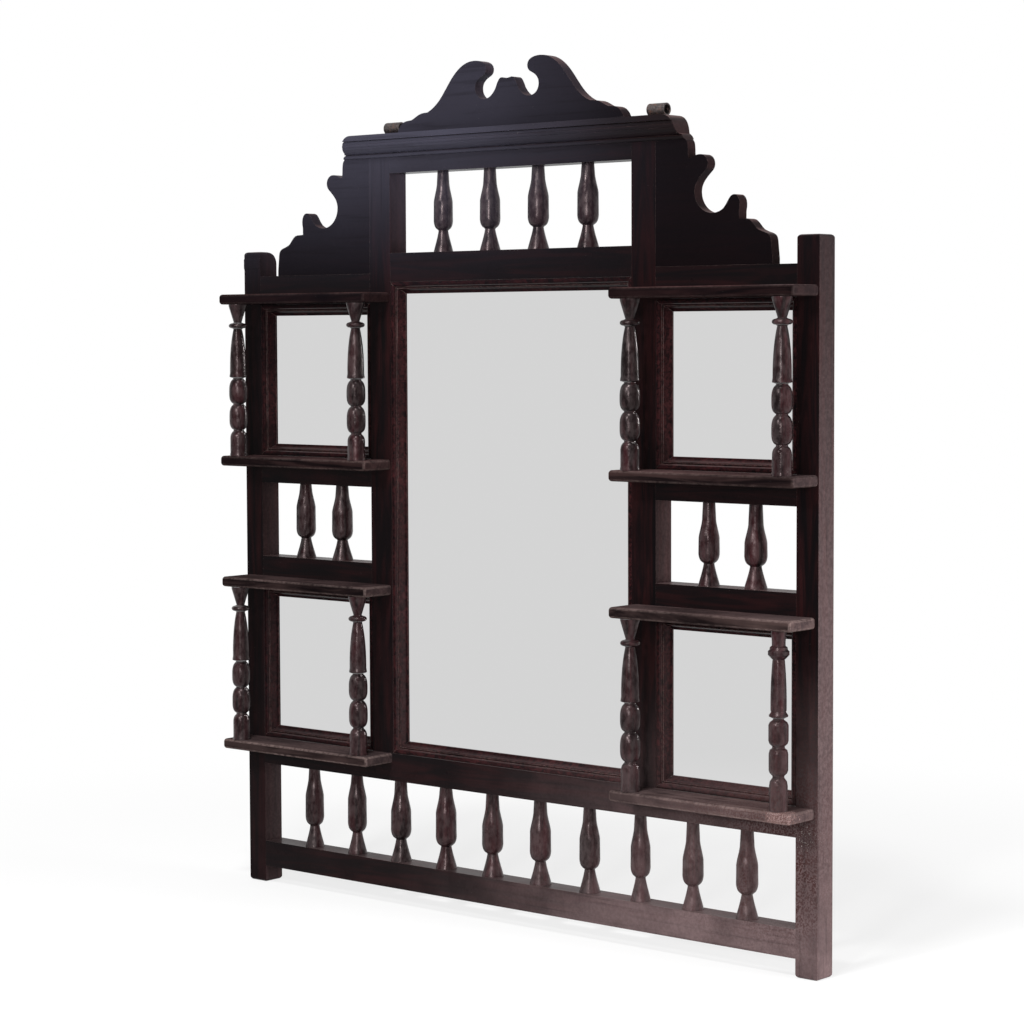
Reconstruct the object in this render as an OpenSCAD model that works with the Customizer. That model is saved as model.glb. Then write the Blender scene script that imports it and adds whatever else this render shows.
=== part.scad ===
// Wall mirror with shelves: a jointed frame of posts, stiles and rails that holds five mirrors,
// four spindle galleries, eight small shelves on turned columns, sawn side scrolls, a moulded
// cornice and a swan-neck crest. It hangs from two rolled strap eyes on its back.
// X runs to the right, Y to the back and Z up. The feet stand at z = 0.

/* [Frame] */
// Width over the two posts
frame_width = 980; // [900:10:1080]
// Width of a post, seen from the front
post_width = 32; // [30:1:38]
// Thickness of posts, stiles and rails from front to back
frame_thickness = 32; // [30:1:38]
// Width of an inner stile
stile_width = 38; // [34:1:44]
// Clear width of a side bay, between its post and its stile
bay_width = 213; // [190:1:225]
// Height of the bottom rail's underside above the feet
foot_height = 23.5; // [12:0.5:30]
// Height of the post's ear above the bay header
ear_height = 34.5; // [20:0.5:45]
// Radius on the top ends of the posts
post_top_radius = 4.5; // [3:0.5:10]
// Radius on the back of the left post's top end, more worn than the right one's
left_post_back_radius = 17; // [3:0.5:18]
// Radius on the posts' feet
post_foot_radius = 5; // [3:0.5:10]

/* [Rails] */
// Height of the bottom rail
bottom_rail_height = 36; // [32:1:44]
// Height of the rail under the mirrors
mirror_rail_height = 38; // [34:1:44]
// Height of the rail under a bay's gallery
lower_bay_rail_height = 42; // [36:1:46]
// Height of the rail over a bay's gallery
upper_bay_rail_height = 38.5; // [34:0.5:44]
// Height of the rail over a bay's upper mirror
bay_header_height = 39.5; // [34:0.5:46]
// Height of the rail over the centre mirror
centre_header_height = 38.5; // [34:0.5:44]
// How far the centre header stands above the bay headers
centre_header_rise = 27; // [20:1:36]
// Height of the top rail's front
top_rail_height = 21.5; // [20:0.5:30]

/* [Joints] */
// Length of a tenon
tenon_length = 17; // [12:1:20]
// Thickness of a tenon
tenon_thickness = 11; // [8:1:13]
// Step from a rail's edge to its tenon
tenon_shoulder = 5; // [4:0.5:7]
// Clearance on each side of a tenon, pin or dowel in its hole
joint_gap = 0.2; // [0.1:0.05:0.4]
// Diameter of the dowels
dowel_diameter = 8; // [6:1:9]
// How far a dowel goes into each piece
dowel_depth = 12; // [9:1:14]

/* [Galleries] */
// Clear height of the bottom gallery
bottom_gallery_height = 112; // [95:1:130]
// Clear height of a bay's gallery
bay_gallery_height = 104; // [90:1:120]
// Clear height of the top gallery
top_gallery_height = 107; // [95:1:120]
// Spindles in the bottom gallery
bottom_spindle_count = 10; // [8:1:12]
// Greatest diameter of a spindle
spindle_diameter = 28; // [22:0.5:30]
// Diameter of the spindles' end pins
spindle_pin_diameter = 10; // [7:1:12]
// Length of the spindles' end pins
spindle_pin_length = 9; // [6:1:11]

/* [Mirrors] */
// Height of a lower side mirror's opening
lower_mirror_height = 216; // [190:1:240]
// Height of an upper side mirror's opening
upper_mirror_height = 212; // [190:1:240]
// Width of the mitred moulding round a mirror
moulding_width = 16; // [14:1:20]
// Depth of the moulding, from the frame's face to the glass
moulding_depth = 16; // [14:0.5:17]
// How far the moulding's bead stands out from the frame's face
moulding_proud = 0.8; // [0.2:0.1:2]
// How much each moulding length is cut short at a mitre
mitre_gap = 0.1; // [0.05:0.05:0.3]
// Thickness of the mirror glass
glass_thickness = 4; // [2:0.5:5]
// Thickness of the backing boards
backing_thickness = 4; // [3:0.5:5]
// Clearance round a mirror and its backing board
pane_gap = 1; // [0.5:0.5:2]

/* [Shelves] */
// Thickness of a shelf
shelf_thickness = 14; // [12:0.5:18]
// How far a shelf stands out from the frame's face
shelf_depth = 52; // [46:1:64]
// Gap from a shelf's inner end to the stile's inner edge
shelf_end_gap = 2; // [0:0.5:5]
// Gap from a left shelf's outer end to its post's outer side
left_shelf_inset = 0.5; // [0:0.5:6]
// Gap from an upper right shelf's outer end to its post's outer side
upper_right_shelf_inset = 1.5; // [0:0.5:8]
// Gap from a lower right shelf's outer end to its post's outer side
right_shelf_inset = 5; // [0:0.5:8]
// Radius of a shelf's rounded edges and front corners
shelf_edge_radius = 4.5; // [3:0.5:5.5]

/* [Columns] */
// Greatest diameter of a column
column_diameter = 25.8; // [22:0.2:29]
// Distance of a column's axis from the post's outer side or the shelf's inner end
column_end_distance = 26; // [20:1:34]
// How far the odd column, a later replacement, stands nearer its stile
odd_column_shift = 4; // [0:0.5:6]
// Distance of a column's axis from the shelf's front edge
column_front_distance = 13; // [12:0.5:18]
// Diameter of the columns' end pins
column_pin_diameter = 9; // [7:1:10]
// Length of the columns' end pins
column_pin_length = 7; // [4:0.5:8]

/* [Cornice, scrolls and crest] */
// Height of the cornice
cornice_height = 30.5; // [26:0.5:36]
// How far the cornice's top stands out from the frame's face
cornice_projection = 16; // [12:1:20]
// How far the cornice runs past a stile at its underside
cornice_overhang = 46; // [38:1:50]
// Thickness of the cornice behind the frame's face
board_thickness = 18; // [16:0.5:20]
// Thickness of the scroll boards
scroll_thickness = 15.5; // [14:0.5:18]
// How far a scroll board reaches out from its stile
scroll_width = 177; // [160:1:186]
// Distance from the crest's end to the stile's inner edge
crest_inset = 13; // [4:1:32]
// Height of the crest
crest_height = 88; // [78:1:100]
// Thickness of the crest
crest_thickness = 16; // [14:0.5:17]

/* [Hangers] */
// Width of a hanger strap
strap_width = 27; // [22:1:30]
// Thickness of a hanger strap
strap_thickness = 2; // [1.5:0.5:2.5]
// Inner diameter of a hanger's rolled eye
eye_bore = 12; // [10:0.5:13]
// Length of the strap below the cornice's top
strap_length = 84; // [70:1:100]
// Diameter of the hanger screws
hanger_screw_diameter = 4; // [3:0.5:4.5]
// Length of the hanger screws
hanger_screw_length = 13; // [10:1:13]

/* [Shelf screws and brads] */
// Diameter of the shelf screws
shelf_screw_diameter = 4.5; // [4:0.5:5]
// How far a shelf screw goes into its shelf
shelf_screw_bite = 22; // [16:1:30]
// Diameter of the brads behind the backing boards
brad_diameter = 1.6; // [1.2:0.2:2]
// Length of a brad
brad_length = 14; // [10:1:18]

/* [Hidden] */
$fn = 72;

wood = [0.13, 0.09, 0.08];
wood_light = [0.27, 0.19, 0.15];
silver = [0.78, 0.80, 0.80];
board_brown = [0.45, 0.34, 0.24];
iron = [0.36, 0.27, 0.22];
steel = [0.62, 0.62, 0.60];

sliver = 0.01;
half_frame = frame_width / 2;
post_inner = half_frame - post_width;
stile_outer = post_inner - bay_width;
stile_inner = stile_outer - stile_width;
stile_centre = (stile_outer + stile_inner) / 2;
mid_y = frame_thickness / 2;
tenon_end_gap = 1;
tenon = min(tenon_length, stile_width / 2 - 1.5 * tenon_end_gap);

// Heights of the rails and openings, from the feet up
bottom_rail_z = foot_height;
bottom_gallery_z = bottom_rail_z + bottom_rail_height;
mirror_rail_z = bottom_gallery_z + bottom_gallery_height;
lower_mirror_z = mirror_rail_z + mirror_rail_height;
lower_bay_rail_z = lower_mirror_z + lower_mirror_height;
bay_gallery_z = lower_bay_rail_z + lower_bay_rail_height;
upper_bay_rail_z = bay_gallery_z + bay_gallery_height;
upper_mirror_z = upper_bay_rail_z + upper_bay_rail_height;
bay_header_z = upper_mirror_z + upper_mirror_height;
bay_header_top = bay_header_z + bay_header_height;
post_height = bay_header_top + ear_height;
top_gallery_z = bay_header_top + centre_header_rise;
centre_header_z = top_gallery_z - centre_header_height;
top_rail_z = top_gallery_z + top_gallery_height;
cornice_z = top_rail_z + top_rail_height;
cornice_top = cornice_z + cornice_height;
scroll_height = cornice_z - bay_header_top;
crest_half_width = stile_inner - crest_inset;

// Shelves: the two that stand on a mirror's sill are flush with their rail's top, and the two
// that hang over a mirror are flush with their rail's underside
shelf_z = [
    bay_header_z,
    upper_mirror_z - shelf_thickness,
    lower_bay_rail_z,
    lower_mirror_z - shelf_thickness
];
shelf_inner = stile_inner + shelf_end_gap;
shelf_insets = [[left_shelf_inset, left_shelf_inset], [upper_right_shelf_inset, right_shelf_inset]];
shelf_screw_x = [stile_outer + 0.25 * bay_width, stile_outer + 0.75 * bay_width];
shelf_screw_head = 1.9 * shelf_screw_diameter;

// Turned columns: [foot height, top height] of the upper and the lower storey, and the places of
// the outer and the inner column
storeys = [[upper_mirror_z, bay_header_z], [lower_mirror_z, lower_bay_rail_z]];
column_y = column_front_distance - shelf_depth;
column_x = [half_frame - column_end_distance, shelf_inner + column_end_distance];

// Mirrors: [x0, x1, z0, z1] of the openings on the right and of the centre opening
centre_opening = [-stile_inner, stile_inner, lower_mirror_z, centre_header_z];
lower_opening = [stile_outer, post_inner, lower_mirror_z, lower_bay_rail_z];
upper_opening = [stile_outer, post_inner, upper_mirror_z, bay_header_z];
glass_y = moulding_depth;
backing_y = glass_y + glass_thickness;
brad_y = backing_y + backing_thickness + brad_diameter / 2;
brad_hold = 0.6 * brad_length;

// Hangers: the eye is rolled round the middle of the strap's thickness. One screw goes in below
// the top rail's tenon and two go in above it
eye_radius = eye_bore / 2 + strap_thickness;
eye_y = frame_thickness - strap_thickness / 2;
eye_z = cornice_top + eye_radius + 2.5;
strap_foot_z = cornice_top - strap_length;
hanger_screw_z = [
    strap_foot_z + 0.14 * strap_length,
    cornice_z + 0.10 * cornice_height,
    cornice_z + 0.65 * cornice_height
];

// The finished part stands with the middle of its depth at y = 0
front_reach = max(shelf_depth, column_diameter / 2 - column_y);
back_reach = max(frame_thickness, eye_y + eye_radius);
depth_shift = (front_reach - back_reach) / 2;

// Each spindle's girth in hundredths of the spindle diameter, and where its shoulder lies in
// hundredths of its height: turned by hand, no two alike
bottom_girths = [94, 95, 101, 102, 102, 101, 97, 92, 96, 99];
bottom_shoulders = [65, 69, 62, 68, 61, 63, 63, 62, 57, 60];
top_girths = [92, 97, 99, 99];
top_shoulders = [63, 62, 64, 66];
bay_girths = [104, 98, 95, 102];
bay_shoulders = [65, 69, 58, 55];
top_spindle_count = 4;
bay_spindle_count = 2;

SIDES = ["left", "right"];
SHELF_NAMES = ["shelf_top", "shelf_upper", "shelf_lower", "shelf_bottom"];
COLUMN_NAMES = ["column_upper_outer", "column_upper_inner", "column_lower_outer", "column_lower_inner"];
MIRROR_NAMES = ["upper", "lower"];

function sided(side, name) = str(SIDES[side], "_", name);

// Points on an arc of an ellipse, from angle a0 to angle a1
function arc(centre, rx, ry, a0, a1, steps = 10) =
    [for (i = [0 : steps]) let (a = a0 + (a1 - a0) * i / steps)
        [centre[0] + rx * cos(a), centre[1] + ry * sin(a)]];

// Points on a smooth curve that leaves p0 towards p1 and arrives at p3 from p2
function bend(p0, p1, p2, p3, steps = 10) =
    [for (i = [0 : steps]) let (t = i / steps, u = 1 - t)
        u * u * u * p0 + 3 * u * u * t * p1 + 3 * u * t * t * p2 + t * t * t * p3];

// Stretches an outline drawn at one size to another
function fitted(points, sx, sy) = [for (p = points) [p[0] * sx, p[1] * sy]];

// Moves a piece that is drawn with the frame's face at y = 0 to its place in the part
module placed() {
    translate([0, depth_shift, 0]) children();
}

// Draws a right-hand piece, or its mirror image on the left
module on_side(side) {
    placed() mirror([side == 0 ? 1 : 0, 0, 0]) children();
}

module block(x0, x1, y0, y1, z0, z1) {
    translate([x0, y0, z0]) cube([x1 - x0, y1 - y0, z1 - z0]);
}

// Extrudes an outline drawn in X and Z through y0 to y1
module through_y(y0, y1) {
    translate([0, y1, 0]) rotate([90, 0, 0]) linear_extrude(y1 - y0) children();
}

// Extrudes an outline drawn in Y and Z through x0 to x1
module through_x(x0, x1) {
    translate([x0, 0, 0]) rotate([90, 0, 90]) linear_extrude(x1 - x0) children();
}

// A rectangle with all corners rounded by true arcs
module rounded_rectangle(x0, x1, y0, y1, r) {
    translate([x0 + r, y0]) square([x1 - x0 - 2 * r, y1 - y0]);
    translate([x0, y0 + r]) square([x1 - x0, y1 - y0 - 2 * r]);
    for (x = [x0 + r, x1 - r]) {
        for (y = [y0 + r, y1 - r]) {
            translate([x, y]) circle(r);
        }
    }
}

// Round hole or pin along Z, Y or X
module rod_z(x, y, z0, z1, d) {
    translate([x, y, z0]) cylinder(h = z1 - z0, d = d);
}

module rod_y(x, z, y0, y1, d) {
    translate([x, y1, z]) rotate([90, 0, 0]) cylinder(h = y1 - y0, d = d);
}

module rod_x(y, z, x0, x1, d) {
    translate([x0, y, z]) rotate([0, 90, 0]) cylinder(h = x1 - x0, d = d);
}

// A tenon at x, along +X or -X, for a rail from z0 to z1. grow opens it into its mortise
module tenon_x(x, way, z0, z1, grow = 0) {
    reach = tenon + (grow > 0 ? tenon_end_gap : 0);
    back = grow > 0 ? 1 : 0;
    block(
        way > 0 ? x - back : x - reach, way > 0 ? x + reach : x + back,
        mid_y - tenon_thickness / 2 - grow, mid_y + tenon_thickness / 2 + grow,
        z0 + tenon_shoulder - grow, z1 - tenon_shoulder + grow
    );
}

// The tenon on the foot of a stile
module stile_tenon(grow = 0) {
    reach = tenon + (grow > 0 ? tenon_end_gap : 0);
    block(
        stile_inner + tenon_shoulder - grow, stile_outer - tenon_shoulder + grow,
        mid_y - tenon_thickness / 2 - grow, mid_y + tenon_thickness / 2 + grow,
        lower_mirror_z - reach, lower_mirror_z + (grow > 0 ? 1 : 0)
    );
}

// A rail from x0 to x1 with a tenon on each end
module rail(x0, x1, z0, z1) {
    block(x0, x1, 0, frame_thickness, z0, z1);
    tenon_x(x1 - sliver, 1, z0, z1);
    tenon_x(x0 + sliver, -1, z0, z1);
}

// Places of the spindles in an opening from x0 to x1
function spindle_places(x0, x1, count) = [for (i = [1 : count]) x0 + (x1 - x0) * i / (count + 1)];

// Holes for a row of spindle pins, going up or down from z
module pin_holes(places, z, way) {
    depth = spindle_pin_length + 1;
    for (x = places) {
        rod_z(x, mid_y, way > 0 ? z - 1 : z - depth, way > 0 ? z + depth : z + 1,
            spindle_pin_diameter + 2 * joint_gap);
    }
}

bottom_places = spindle_places(-post_inner, post_inner, bottom_spindle_count);
top_places = spindle_places(-stile_inner, stile_inner, top_spindle_count);
bay_places = spindle_places(stile_outer, post_inner, bay_spindle_count);

// Screws through a rail into the shelf in front of it. grow opens the hole
module shelf_screw_pair(level, grow = 0) {
    z = shelf_z[level] + shelf_thickness / 2;
    head_depth = shelf_screw_head / 2 - shelf_screw_diameter / 2;
    for (x = shelf_screw_x) {
        rod_y(x, z, -shelf_screw_bite - grow, frame_thickness, shelf_screw_diameter + 2 * grow);
        translate([x, frame_thickness, z]) rotate([90, 0, 0])
            cylinder(h = head_depth + grow, d1 = shelf_screw_head + 2 * grow, d2 = shelf_screw_diameter);
    }
}

// Brads behind the backing board, at both sides of an opening. grow opens the hole
module opening_brads(opening, count, grow = 0) {
    free = brad_length - brad_hold;
    for (i = [1 : count]) {
        z = opening[2] + (opening[3] - opening[2]) * i / (count + 1);
        rod_x(brad_y, z, opening[0] - brad_hold - grow, opening[0] + free, brad_diameter + 2 * grow);
        rod_x(brad_y, z, opening[1] - free, opening[1] + brad_hold + grow, brad_diameter + 2 * grow);
    }
}

module bay_brads(grow = 0) {
    opening_brads(lower_opening, 2, grow);
    opening_brads(upper_opening, 2, grow);
}

module centre_brads(grow = 0) {
    opening_brads(centre_opening, 4, grow);
}

// Dowels, as [x, y, z, way], where way is 0 along X and 1 along Z
scroll_dowels = [
    [stile_outer + 0.22 * scroll_width, bay_header_top, 1],
    [stile_outer + 0.80 * scroll_width, bay_header_top, 1],
    [stile_outer, bay_header_top + 0.55 * scroll_height, 0],
    [stile_outer + 0.12 * scroll_width, cornice_z, 1]
];
top_rail_dowels = [for (x = [-0.8, -0.4, 0, 0.4, 0.8]) [x * stile_inner, cornice_z, 1]];
crest_dowels = [for (x = [-0.62, 0, 0.62]) [x * crest_half_width, cornice_top, 1]];

module dowel_set(places, grow = 0) {
    reach = dowel_depth + (grow > 0 ? 1 : 0);
    y = board_thickness / 2;
    for (p = places) {
        if (p[2] == 1) {
            rod_z(p[0], y, p[1] - reach, p[1] + reach, dowel_diameter + 2 * grow);
        } else {
            rod_x(y, p[1], p[0] - reach, p[0] + reach, dowel_diameter + 2 * grow);
        }
    }
}

// Posts and stiles

// Outline of a post from x0 to x1, with radii r0 and r1 at the corners of its top end
module post_outline(x0, x1, r0, r1) {
    foot = post_foot_radius;
    top = post_height;
    middle = (x0 + x1) / 2;
    translate([x0, foot]) square([middle - x0, top - r0 - foot]);
    translate([middle, foot]) square([x1 - middle, top - r1 - foot]);
    translate([x0 + r0, foot]) square([x1 - x0 - r0 - r1, top - foot]);
    translate([x0 + foot, 0]) square([x1 - x0 - 2 * foot, top / 2]);
    translate([x0 + foot, foot]) circle(foot);
    translate([x1 - foot, foot]) circle(foot);
    translate([x0 + r0, top - r0]) circle(r0);
    translate([x1 - r1, top - r1]) circle(r1);
}

module post(side) {
    back_radius = side == 0 ? left_post_back_radius : post_top_radius;
    on_side(side) color(wood) difference() {
        intersection() {
            through_y(-1, frame_thickness + 1)
                post_outline(post_inner, half_frame, post_top_radius, post_top_radius);
            through_x(post_inner - 1, half_frame + 1)
                post_outline(0, frame_thickness, post_top_radius, back_radius);
        }
        tenon_x(post_inner, 1, bottom_rail_z, bottom_gallery_z, joint_gap);
        tenon_x(post_inner, 1, mirror_rail_z, lower_mirror_z, joint_gap);
        tenon_x(post_inner, 1, lower_bay_rail_z, bay_gallery_z, joint_gap);
        tenon_x(post_inner, 1, upper_bay_rail_z, upper_mirror_z, joint_gap);
        tenon_x(post_inner, 1, bay_header_z, bay_header_top, joint_gap);
        bay_brads(joint_gap);
    }
}

module stile(side) {
    on_side(side) color(wood) difference() {
        union() {
            block(stile_inner, stile_outer, 0, frame_thickness, lower_mirror_z, cornice_z);
            block(stile_inner, stile_outer, board_thickness, frame_thickness, lower_mirror_z, cornice_top);
            stile_tenon();
        }
        tenon_x(stile_outer, -1, lower_bay_rail_z, bay_gallery_z, joint_gap);
        tenon_x(stile_outer, -1, upper_bay_rail_z, upper_mirror_z, joint_gap);
        tenon_x(stile_outer, -1, bay_header_z, bay_header_top, joint_gap);
        tenon_x(stile_inner, 1, centre_header_z, top_gallery_z, joint_gap);
        tenon_x(stile_inner, 1, top_rail_z, cornice_z, joint_gap);
        bay_brads(joint_gap);
        centre_brads(joint_gap);
        dowel_set(scroll_dowels, joint_gap);
        // Housing and screw holes for the hanger strap
        block(
            stile_centre - strap_width / 2 - joint_gap, stile_centre + strap_width / 2 + joint_gap,
            frame_thickness - strap_thickness, frame_thickness + 1,
            strap_foot_z - joint_gap, cornice_top + 1
        );
        hanger_screw_set(joint_gap);
    }
}

// Rails

module bottom_rail() {
    placed() color(wood_light) difference() {
        rail(-post_inner, post_inner, bottom_rail_z, bottom_gallery_z);
        pin_holes(bottom_places, bottom_gallery_z, -1);
    }
}

module mirror_rail() {
    placed() color(wood) difference() {
        rail(-post_inner, post_inner, mirror_rail_z, lower_mirror_z);
        pin_holes(bottom_places, mirror_rail_z, 1);
        for (side = [0, 1]) {
            mirror([side, 0, 0]) {
                stile_tenon(joint_gap);
                shelf_screw_pair(3, joint_gap);
            }
        }
    }
}

module lower_bay_rail(side) {
    on_side(side) color(wood) difference() {
        rail(stile_outer, post_inner, lower_bay_rail_z, bay_gallery_z);
        pin_holes(bay_places, bay_gallery_z, -1);
        shelf_screw_pair(2, joint_gap);
    }
}

module upper_bay_rail(side) {
    on_side(side) color(wood) difference() {
        rail(stile_outer, post_inner, upper_bay_rail_z, upper_mirror_z);
        pin_holes(bay_places, upper_bay_rail_z, 1);
        shelf_screw_pair(1, joint_gap);
    }
}

module bay_header(side) {
    on_side(side) color(wood) difference() {
        rail(stile_outer, post_inner, bay_header_z, bay_header_top);
        shelf_screw_pair(0, joint_gap);
        dowel_set(scroll_dowels, joint_gap);
    }
}

module centre_header() {
    placed() color(wood) difference() {
        rail(-stile_inner, stile_inner, centre_header_z, top_gallery_z);
        pin_holes(top_places, top_gallery_z, -1);
    }
}

module top_rail() {
    placed() color(wood) difference() {
        union() {
            rail(-stile_inner, stile_inner, top_rail_z, cornice_z);
            block(-stile_inner, stile_inner, board_thickness, frame_thickness, top_rail_z, cornice_top);
        }
        pin_holes(top_places, top_rail_z, 1);
        dowel_set(top_rail_dowels, joint_gap);
    }
}

// Turned spindles

// Half outline of a spindle with height h and radius r: a flared foot, a waist, a barrel and a
// tapered neck. s is the height of the barrel's shoulder as a part of h
function spindle_outline(h, r, s) = fitted(concat(
    [[0, 0], [1.02, 0]],
    bend([1, 0.012], [0.84, 0.09], [0.62, 0.17], [0.50, 0.262], 8),
    [[0.56, 0.272]],
    bend([0.60, 0.276], [0.84, 0.295], [0.97, 0.325], [1, 0.385], 8),
    bend([0.98, s - 0.01], [0.95, s + 0.04], [0.72, s + 0.13], [0.66, s + 0.2], 8),
    [[0.58, 1], [0, 1]]
), r, h);

module spindle(x, z0, z1, girth, shoulder) {
    r = spindle_diameter / 2 * girth / 100;
    translate([x, mid_y, z0]) {
        rotate_extrude() polygon(spindle_outline(z1 - z0, r, shoulder / 100));
        translate([0, 0, -spindle_pin_length])
            cylinder(h = z1 - z0 + 2 * spindle_pin_length, d = spindle_pin_diameter);
    }
}

module bottom_spindles() {
    placed() color(wood_light) for (i = [0 : bottom_spindle_count - 1]) {
        kind = i % len(bottom_girths);
        spindle(bottom_places[i], bottom_gallery_z, mirror_rail_z,
            bottom_girths[kind], bottom_shoulders[kind]);
    }
}

module top_spindle(i) {
    placed() color(wood_light)
        spindle(top_places[i], top_gallery_z, top_rail_z, top_girths[i], top_shoulders[i]);
}

module bay_spindle(side, i) {
    kind = 2 * side + i;
    on_side(side) color(wood_light)
        spindle(bay_places[i], bay_gallery_z, upper_bay_rail_z, bay_girths[kind], bay_shoulders[kind]);
}

// Shelves and columns

// A shelf board, rounded along its front and both ends and ball-shaped at its front corners
module shelf_board(x0, x1, z0, z1) {
    r = shelf_edge_radius;
    corner_y = r - shelf_depth;
    through_y(corner_y, 0) rounded_rectangle(x0, x1, z0, z1, r);
    through_x(x0 + r, x1 - r) rounded_rectangle(-shelf_depth, 0, z0, z1, r);
    for (x = [x0 + r, x1 - r]) {
        rod_z(x, corner_y, z0 + r, z1 - r, 2 * r);
        for (z = [z0 + r, z1 - r]) {
            translate([x, corner_y, z]) sphere(r);
        }
    }
}

module shelf(side, level) {
    storey = floor(level / 2);
    outer = half_frame - shelf_insets[side][storey];
    z0 = shelf_z[level];
    on_side(side) color(wood) difference() {
        shelf_board(shelf_inner, outer, z0, z0 + shelf_thickness);
        shelf_screw_pair(level, joint_gap);
        for (end = [0, 1]) {
            column_pins(column_place(side, storey, end), storeys[storey], joint_gap);
        }
    }
}

// The odd column is the outer one in the right bay's lower storey
function is_odd(side, storey, end) = side == 1 && storey == 1 && end == 0;

function column_place(side, storey, end) =
    column_x[end] - (is_odd(side, storey, end) ? odd_column_shift : 0);

module column_pins(x, storey, grow = 0) {
    for (z = storey) {
        rod_z(x, column_y, z - column_pin_length - grow, z + column_pin_length + grow,
            column_pin_diameter + 2 * grow);
    }
}

// A barrel of a column from a to b, as parts of the column's height, with greatest radius r
function barrel(a, b, r, neck) = concat(
    bend([neck, a], [0.84 * r, a + 0.008], [r, a + 0.025], [r, a + 0.06], 6),
    bend([r, b - 0.075], [r, b - 0.035], [0.86 * r, b - 0.012], [neck, b], 7)
);

// Half outline of a column: a base drum, two barrels, a thin ring, a swelling shaft, a round ring
// and a cone
function column_outline(h, r) = fitted(concat(
    [[0, 0], [0.96, 0], [0.96, 0.012], [0.92, 0.02]],
    bend([0.92, 0.12], [0.91, 0.14], [0.80, 0.155], [0.58, 0.165], 5),
    [[0.56, 0.172]],
    barrel(0.174, 0.340, 0.99, 0.58),
    [[0.56, 0.343]],
    barrel(0.346, 0.508, 0.99, 0.58),
    [[0.56, 0.514], [0.93, 0.522], [0.93, 0.530]],
    bend([0.88, 0.548], [0.89, 0.66], [0.76, 0.76], [0.47, 0.836], 10),
    bend([0.58, 0.842], [1.10, 0.844], [1.10, 0.874], [0.58, 0.877], 8),
    bend([0.43, 0.882], [0.54, 0.905], [0.80, 0.955], [0.96, 0.99], 6),
    [[0.96, 1], [0, 1]]
), r, h);

// Half outline of the odd column: square-shouldered barrels, a thin ring, a plain shaft, a heavy
// bead and a straight neck
function odd_column_outline(h, r) = fitted(concat(
    [[0, 0], [0.87, 0], [0.87, 0.14], [0.80, 0.165], [0.56, 0.185], [0.55, 0.195]],
    [[0.82, 0.212], [0.91, 0.228], [0.91, 0.318], [0.82, 0.340], [0.60, 0.350], [0.59, 0.360]],
    [[0.85, 0.375], [0.94, 0.392], [0.94, 0.478], [0.82, 0.494], [0.52, 0.508], [0.50, 0.514]],
    [[0.89, 0.526], [0.90, 0.534], [0.74, 0.546], [0.70, 0.555]],
    bend([0.75, 0.56], [0.77, 0.66], [0.70, 0.76], [0.58, 0.835], 8),
    [[0.56, 0.84], [0.82, 0.856], [1, 0.868], [1, 0.888], [0.85, 0.896], [0.82, 0.91]],
    [[0.64, 0.918], [0.64, 0.94], [0.70, 0.99], [0.70, 1], [0, 1]]
), r, h);

module column(side, storey, end) {
    foot = storeys[storey][0];
    h = storeys[storey][1] - foot;
    r = column_diameter / 2;
    x = column_place(side, storey, end);
    on_side(side) color(wood_light) {
        translate([x, column_y, foot]) rotate_extrude()
            polygon(is_odd(side, storey, end) ? odd_column_outline(h, r) : column_outline(h, r));
        rod_z(x, column_y, foot - column_pin_length, foot + h + column_pin_length, column_pin_diameter);
    }
}

// Mirrors, mouldings and backing boards

// Section of the moulding: across it from the opening's edge, and back from the frame's face
function moulding_section() = let (w = moulding_width, d = moulding_depth, p = moulding_proud) concat(
    [[0, d]],
    arc([0.19 * w, 0.12 * d], 0.19 * w, 0.12 * d + p, 180, 360, 10),
    [[0.41 * w, 0.26 * d], [0.48 * w, 0.32 * d]],
    arc([0.56 * w, 0.34 * d], 0.07 * w, 0.08 * d, 180, 360, 6),
    bend([0.65 * w, 0.40 * d], [0.70 * w, 0.62 * d], [0.80 * w, 0.80 * d], [0.93 * w, 0.83 * d], 8),
    [[w, 0.85 * d], [w, d]]
);

// One mitred length along the left edge of an opening
module moulding_side(length) {
    w = moulding_width;
    low = mitre_gap;
    high = length - mitre_gap;
    intersection() {
        linear_extrude(length) polygon(moulding_section());
        through_y(-moulding_proud - 1, moulding_depth + 1)
            polygon([[0, low], [w, low + w], [w, high - w], [0, high]]);
    }
}

module moulding(opening) {
    width = opening[1] - opening[0];
    height = opening[3] - opening[2];
    translate([opening[0], 0, opening[2]]) {
        moulding_side(height);
        translate([width, 0, 0]) mirror([1, 0, 0]) moulding_side(height);
        translate([width, 0, 0]) rotate([0, -90, 0]) moulding_side(width);
        translate([0, 0, height]) rotate([0, 90, 0]) moulding_side(width);
    }
}

module pane(opening, y, thickness) {
    block(opening[0] + pane_gap, opening[1] - pane_gap, y, y + thickness,
        opening[2] + pane_gap, opening[3] - pane_gap);
}

module side_moulding(side, place) {
    on_side(side) color(wood) moulding(place == 0 ? upper_opening : lower_opening);
}

module side_mirror(side, place) {
    on_side(side) color(silver) pane(place == 0 ? upper_opening : lower_opening, glass_y, glass_thickness);
}

module centre_moulding() {
    placed() color(wood) moulding(centre_opening);
}

module centre_mirror() {
    placed() color(silver) pane(centre_opening, glass_y, glass_thickness);
}

module backing_boards() {
    placed() color(board_brown) {
        pane(centre_opening, backing_y, backing_thickness);
        for (side = [0, 1]) {
            mirror([side, 0, 0]) {
                pane(upper_opening, backing_y, backing_thickness);
                pane(lower_opening, backing_y, backing_thickness);
            }
        }
    }
}

module backing_brads() {
    placed() color(steel) {
        centre_brads();
        for (side = [0, 1]) {
            mirror([side, 0, 0]) bay_brads();
        }
    }
}

// Scroll boards, cornice and crest

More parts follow.
